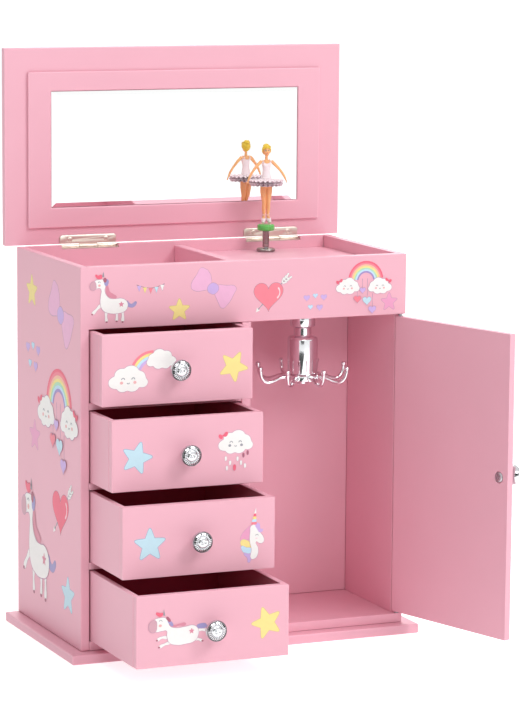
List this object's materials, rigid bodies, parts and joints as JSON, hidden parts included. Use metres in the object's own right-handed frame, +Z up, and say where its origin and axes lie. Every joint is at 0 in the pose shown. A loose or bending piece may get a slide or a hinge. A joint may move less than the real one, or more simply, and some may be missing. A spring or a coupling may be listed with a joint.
{
  "type": "ballerina jewellery box",
  "caption": "Tall painted wooden jewellery box with pull-out drawers, a side cabinet with a necklace carousel, a mirrored lid and a turning dancer.",
  "frame": {"origin": "middle of the case's own footprint, on the underside of the base board (the base board overhangs further in front than behind)", "axes": "+Z up, -Y out of the front where drawers and door open, +X to the viewer's right"},
  "size_m": [0.3017, 0.2655, 0.4233],
  "materials": {
    "pink_paint": "satin pink paint on fibreboard, with printed pictures",
    "chrome_trim": "bright plated plastic",
    "nickel": "warm nickel plate",
    "mirror_glass": "silvered glass",
    "crystal": "clear faceted, mirror backed",
    "steel": "plain steel",
    "brass": "stamped and turned",
    "green_plastic": "moulded",
    "doll_plastic": "painted figure",
    "tutu_plastic": "soft, translucent look"
  },
  "bodies": {
    "case": {"base_board": "pink_paint", "side_panel_left": "pink_paint", "side_panel_right": "pink_paint", "back_panel": "pink_paint", "front_fascia": "pink_paint", "bottom_panel": "pink_paint", "centre_partition": "pink_paint", "drawer_shelf_1": "pink_paint", "drawer_shelf_2": "pink_paint", "drawer_shelf_3": "pink_paint", "cabinet_back": "pink_paint", "floor_board": "pink_paint", "tray_divider": "pink_paint", "music_deck": "pink_paint", "door_pin_top": "steel", "door_pin_bottom": "steel", "hinge_left_body_leaf": "nickel", "hinge_right_body_leaf": "nickel", "carousel_stem": "chrome_trim", "deck_bushing": "chrome_trim", "movement_bedplate": "brass", "movement_comb": "steel"},
    "lid": {"lid_board": "pink_paint", "lid_frame": "pink_paint", "mirror": "mirror_glass", "hinge_left_lid_leaf": "nickel", "hinge_right_lid_leaf": "nickel"},
    "door": {"door_panel": "pink_paint", "door_knob": "crystal", "door_knob_screw": "steel"},
    "drawer_1": {"drawer_1_front": "pink_paint", "drawer_1_box": "pink_paint", "drawer_1_knob": "crystal", "drawer_1_knob_screw": "steel"},
    "drawer_2": {"drawer_2_front": "pink_paint", "drawer_2_box": "pink_paint", "drawer_2_knob": "crystal", "drawer_2_knob_screw": "steel"},
    "drawer_3": {"drawer_3_front": "pink_paint", "drawer_3_box": "pink_paint", "drawer_3_knob": "crystal", "drawer_3_knob_screw": "steel"},
    "drawer_4": {"drawer_4_front": "pink_paint", "drawer_4_box": "pink_paint", "drawer_4_knob": "crystal", "drawer_4_knob_screw": "steel"},
    "carousel": {"carousel_hub": "chrome_trim", "hook_ring": "chrome_trim"},
    "key": {"winding_key": "steel"},
    "barrel": {"spring_barrel": "brass"},
    "cylinder": {"pinned_cylinder": "brass"},
    "governor_fan": {"governor": "steel"},
    "post": {"dancer_post": "steel"},
    "dancer_stand": {"dancer_foot": "steel"},
    "dancer": {"dancer_base": "green_plastic", "dancer_figure": "doll_plastic", "dancer_tutu": "tutu_plastic"}
  },
  "joints": [
    {"name": "lid_hinge", "type": "hinge", "parent": "case", "child": "lid", "pos_m": [0, 0.068, 0.2777], "axis": [1, 0, 0], "range_deg": [0, 90]},
    {"name": "door_hinge", "type": "hinge", "parent": "case", "child": "door", "pos_m": [0.122, -0.0655, 0.12], "axis": [0, 0, 1], "range_deg": [-106.5, 13.5]},
    {"name": "drawer_1_slide", "type": "slide", "parent": "case", "child": "drawer_1", "axis": [0, -1, 0], "range_m": [-0.0225, 0.0775]},
    {"name": "drawer_2_slide", "type": "slide", "parent": "case", "child": "drawer_2", "axis": [0, -1, 0], "range_m": [-0.042, 0.058]},
    {"name": "drawer_3_slide", "type": "slide", "parent": "case", "child": "drawer_3", "axis": [0, -1, 0], "range_m": [-0.063, 0.037]},
    {"name": "drawer_4_slide", "type": "slide", "parent": "case", "child": "drawer_4", "axis": [0, -1, 0], "range_m": [-0.089, 0.011]},
    {"name": "carousel_spin", "type": "hinge", "parent": "case", "child": "carousel", "pos_m": [0.0627, -0.0245, 0.2], "axis": [0, 0, 1], "continuous": true},
    {"name": "key_wind", "type": "hinge", "parent": "case", "child": "key", "pos_m": [0.04, 0.06, 0.2536], "axis": [0, 1, 0], "continuous": true},
    {"name": "barrel_turn", "type": "hinge", "parent": "case", "child": "barrel", "pos_m": [0.04, 0.02, 0.2536], "axis": [0, 1, 0], "continuous": true},
    {"name": "cylinder_turn", "type": "hinge", "parent": "case", "child": "cylinder", "pos_m": [0.0644, 0.02, 0.2536], "axis": [0, 1, 0], "continuous": true},
    {"name": "governor_turn", "type": "hinge", "parent": "case", "child": "governor_fan", "pos_m": [0.0948, 0.0225, 0.2536], "axis": [0, 0, 1], "continuous": true},
    {"name": "post_turn", "type": "hinge", "parent": "case", "child": "post", "pos_m": [0.0644, 0.048, 0.26], "axis": [0, 0, 1], "continuous": true},
    {"name": "dancer_takeoff", "type": "slide", "parent": "case", "child": "dancer_stand", "axis": [0, -0.9925, 0.1219], "range_m": [0, 0.1725]},
    {"name": "dancer_turn", "type": "hinge", "parent": "dancer_stand", "child": "dancer", "pos_m": [0.0644, 0.048, 0.3], "axis": [0, 0, 1], "continuous": true}
  ],
  "couplings": [
    {"joint": "cylinder_turn", "follows": "barrel_turn", "ratio": -1},
    {"joint": "governor_turn", "follows": "barrel_turn", "ratio": 6},
    {"joint": "post_turn", "follows": "barrel_turn", "ratio": -1.5},
    {"joint": "dancer_turn", "follows": "barrel_turn", "ratio": -1.5},
    {"joint": "dancer_takeoff", "follows": "lid_hinge", "m_per_rad": 0.1095}
  ]
}
